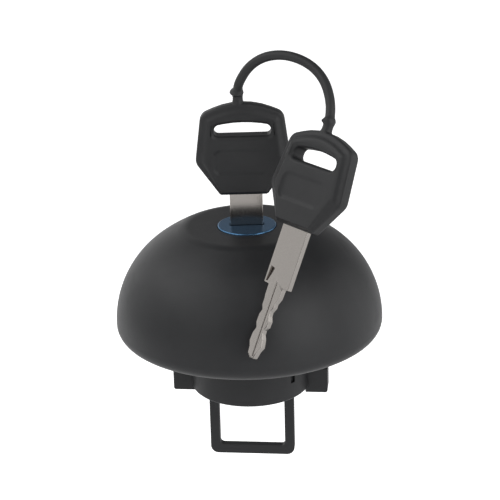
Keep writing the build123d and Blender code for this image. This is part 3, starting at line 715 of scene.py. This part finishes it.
def blade_corners():
    """The blade's outline: tang in the head, shoulder, bit with both rows of cuts, tip."""
    corners = [(TANG_HALF, TANG_H, 0.3, 1), (-TANG_HALF, TANG_H, 0.3, 1), (-TANG_HALF, SHOULDER_TOP, 0.1, 1)]
    corners += [(-SHOULDER_HALF, SHOULDER_TOP, 0.1, 1), (-SHOULDER_HALF, -SHOULDER_LEN, 0.35, 1)]
    corners += [(-BIT_HALF, -SHOULDER_LEN, 0.3, BIT_SHARE)]
    corners += [(x, z, CUT_ROUND, BIT_SHARE) for x, z in LEFT_CUTS + TIP + RIGHT_CUTS[::-1]]
    corners += [(BIT_HALF, -SHOULDER_LEN, 0.3, BIT_SHARE)]
    corners += [(SHOULDER_HALF, -SHOULDER_LEN, 0.35, 1), (SHOULDER_HALF, SHOULDER_TOP, 0.1, 1)]
    return corners + [(TANG_HALF, SHOULDER_TOP, 0.1, 1)]


def groove_loop(shell, side, inset, height, ramp):
    """One loop of the groove milled down the middle of the bit."""
    half = GROOVE_HALF - inset
    top = -SHOULDER_LEN + GROOVE_PAST_SHOULDER - ramp
    low = TIP_Z + GROOVE_SHORT_OF_TIP + ramp / 4
    corners = [(x, z, GROOVE_ROUND, 1) for x, z in ((half, low), (half, top), (-half, top), (-half, low))]
    return shell.upright(rounded_outline(corners, 0, 2), side * height)


def key_blade(place, name, node):
    """One blade, alike on both faces: eased edges, middle groove and the cutter's pocket."""
    shell = Shell(place)
    corners = blade_corners()
    walls = []
    for side in (-1, 1):
        edge = [shell.upright(rounded_outline(corners, inset, 2), side * y) for inset, y in BLADE_EDGE]
        groove = [groove_loop(shell, side, *row) for row in GROOVE_EDGE]
        mouth = shell.upright([(x * -side, z) for x, z in CUTTER_MARK], side * BLADE_HALF_T)
        floor = shell.loop([
            (x * -side, side * (BLADE_HALF_T - deep), z + CUTTER_MARK_LEAN)
            for (x, z), deep in zip(CUTTER_MARK, CUTTER_MARK_DEEP)
        ])
        shell.band(*edge)
        shell.band(*groove)
        shell.band(mouth, floor)
        shell.field(edge[-1], groove[0], mouth)
        shell.field(groove[-1])
        shell.field(floor)
        walls.append(edge[0])
    shell.band(*walls)
    piece = shell.finish(name, 28.0)
    even_normals(piece)
    put_on(piece, KEY_NICKEL, "keys", "nickel_blade", node)


# ---------------------------------------------------------------- screws
GUIDE_SCREW_CIRCLE = 11.75  # radius
GUIDE_SCREW_ANGLES = (60, 180, 300)
SCREW_STEPS = 24            # points round a screw
HEAD_PROFILE = ((0.72, 0.0), (0.86, 0.06), (0.96, 0.22), (1.0, 0.45), (1.0, 0.92), (0.97, 1.0))
THREAD_SHARE = 0.16         # depth of the thread, of the shank's radius
RIDGE_SLOPE = 3.2           # of the thread's flanks
ROWS_PER_TURN = 8
POINT_SHARE, POINT_LEN = 0.35, 1.5  # radius at the point and length of the point, of the shank's radius
RECESS_DRAFT = 0.86         # width of the recess at its floor, of its mouth


def screw(shell, head_r, head_h, shank_r, length, pitch, recess, recess_deep):
    """A thread-forming screw with its head down: rounded head, recess, threaded shank and point."""
    loops = [shell.level(circle_outline(head_r * out, SCREW_STEPS), head_h * up) for out, up in HEAD_PROFILE]
    thread_deep = THREAD_SHARE * shank_r
    rows = int((length - head_h) / pitch * ROWS_PER_TURN)
    for row in range(rows + 1):
        up = head_h + (length - head_h) * row / rows
        fade = min(1.0, (length - up) / (POINT_LEN * shank_r))
        ring = []
        for step, way in enumerate(circle_outline(1.0, SCREW_STEPS)):
            phase = (up / pitch - step / SCREW_STEPS) % 1.0
            ridge = max(0.0, 1 - abs(phase - 0.5) * RIDGE_SLOPE)
            radius = (shank_r - thread_deep * (1 - ridge)) * (POINT_SHARE + (1 - POINT_SHARE) * fade)
            ring.append(way * radius)
        loops.append(shell.level(ring, up))
    shell.band(*loops)
    shell.field(loops[-1])
    mouth = shell.level(recess, 0.0)
    floor = shell.level([point * RECESS_DRAFT for point in recess], recess_deep)
    shell.band(mouth, floor)
    shell.field(loops[0], mouth)
    shell.field(floor)


def slot_recess(long, wide):
    return [Vector(corner) for corner in ((long, wide), (-long, wide), (-long, -wide), (long, -wide))]


def cross_recess(long, wide):
    corners = []
    for quarter in range(4):
        turn = Matrix.Rotation(quarter * math.pi / 2, 2)
        corners += [turn @ Vector(corner) for corner in ((long, -wide), (long, wide), (wide, wide))]
    return corners


def fit_screws():
    """Three slotted screws in the bolt guide, and the cross-headed one that holds the cam."""
    low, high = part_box("guide_screws")
    shell = Shell()
    for angle in GUIDE_SCREW_ANGLES:
        turn = math.radians(angle)
        at = Vector((GUIDE_SCREW_CIRCLE * math.cos(turn), GUIDE_SCREW_CIRCLE * math.sin(turn), low.z / MM))
        shell.place = Matrix.Translation(at) @ Matrix.Rotation(turn, 4, "Z")
        screw(
            shell, head_r=1.8, head_h=1.2, shank_r=0.95, length=(high.z - low.z) / MM, pitch=0.85,
            recess=slot_recess(1.1, 0.25), recess_deep=0.6,
        )
    put_on(shell.finish("Guide_screws_threaded"), SCREW_STEEL, "dome", "screw_steel", "guide_screws")
    low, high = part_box("cam_screw")
    shell = Shell(Matrix.Translation((0, 0, low.z / MM)))
    screw(
        shell, head_r=2.7, head_h=1.5, shank_r=1.2, length=(high.z - low.z) / MM, pitch=0.7,
        recess=cross_recess(1.5, 0.35), recess_deep=0.75,
    )
    put_on(shell.finish("Cam_screw_threaded"), SCREW_STEEL, "plug", "screw_steel", "cam_screw")


# ---------------------------------------------------------------- gasket
GASKET_INNER_R = 20.0
GASKET_EDGE = 0.25          # chamfer of the edges, and height of the beads
BEAD_FROM_EDGE = 1.7
BEAD_STEP, BEAD_STEPS = 0.2, 4      # a bead has this many steps on each side of its crest


def beaded_gasket():
    """The flat gasket with two sealing beads on its lower face."""
    low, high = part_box("gasket")
    outer, height = high.x / MM, (high.z - low.z) / MM
    section = [(GASKET_INNER_R, 2 * GASKET_EDGE), (GASKET_INNER_R + GASKET_EDGE, GASKET_EDGE)]
    for bead_r in (GASKET_INNER_R + BEAD_FROM_EDGE, outer - BEAD_FROM_EDGE):
        for step in range(-BEAD_STEPS, BEAD_STEPS + 1):
            valley = (1 - math.cos(math.pi * step / (2 * BEAD_STEPS))) / 2
            section.append((bead_r + step * BEAD_STEP, GASKET_EDGE * valley))
    section += [(outer - GASKET_EDGE, GASKET_EDGE), (outer, 2 * GASKET_EDGE)]
    section += [(outer, height - GASKET_EDGE), (outer - GASKET_EDGE, height)]
    section += [(GASKET_INNER_R + GASKET_EDGE, height), (GASKET_INNER_R, height - GASKET_EDGE)]
    shell = Shell(Matrix.Translation((0, 0, low.z / MM)))
    loops = [shell.level(circle_outline(radius, 160), z) for radius, z in section]
    shell.band(*loops, loops[0])
    put_on(shell.finish("Gasket_beaded", 40.0), GASKET_RUBBER, "gasket_carrier", "gasket_rubber", "gasket")


# ---------------------------------------------------------------- finishes of the carried nodes
FINISHES = {
    "dome_cover": DOME_PLASTIC,
    "bayonet_insert": NECK_PLASTIC,
    "bottom_plate": NECK_PLASTIC,
    "slip_ring": SLIP_PLASTIC,
    "gasket": GASKET_RUBBER,
    "pressure_ring": NECK_PLASTIC,
    "pressure_spring": SPRING_STEEL,
    "lock_housing": ZINC,
    "lock_plug": ZINC,
    "wafer_tumblers": BRASS,
    "lock_face": DISC_BLUE,
    "lock_cam": ZINC,
    "cam_washer": SCREW_STEEL,
    "cam_screw": SCREW_STEEL,
    "locking_bolt": ZINC,
    "bolt_guide": GUIDE_PLASTIC,
    "guide_screws": SCREW_STEEL,
    "plate_seal": GASKET_RUBBER,
    "vent_valve_disc": GUIDE_PLASTIC,
    "vent_valve_spring": SPRING_STEEL,
    "vent_valve_cap": NECK_PLASTIC,
    "key_blade_1": KEY_NICKEL,
    "key_blade_2": KEY_NICKEL,
    "key_heads": KEY_PLASTIC,
}

aim_camera()
studio()
pale_floor()
key_heads_and_strap()
place_1, place_2 = key_places()
key_blade(place_1, "Key_blade_ground_1", "key_blade_1")
key_blade(place_2 @ Matrix.Translation((-BLADE_2_ASIDE, 0, 0)), "Key_blade_ground_2", "key_blade_2")
fit_screws()
beaded_gasket()
for name, node in nodes.items():
    if not node.material_slots:
        node.data.materials.append(None)
    for slot in node.material_slots:
        slot.material = FINISHES[name]

bpy.context.scene.view_settings.view_transform = "Standard"
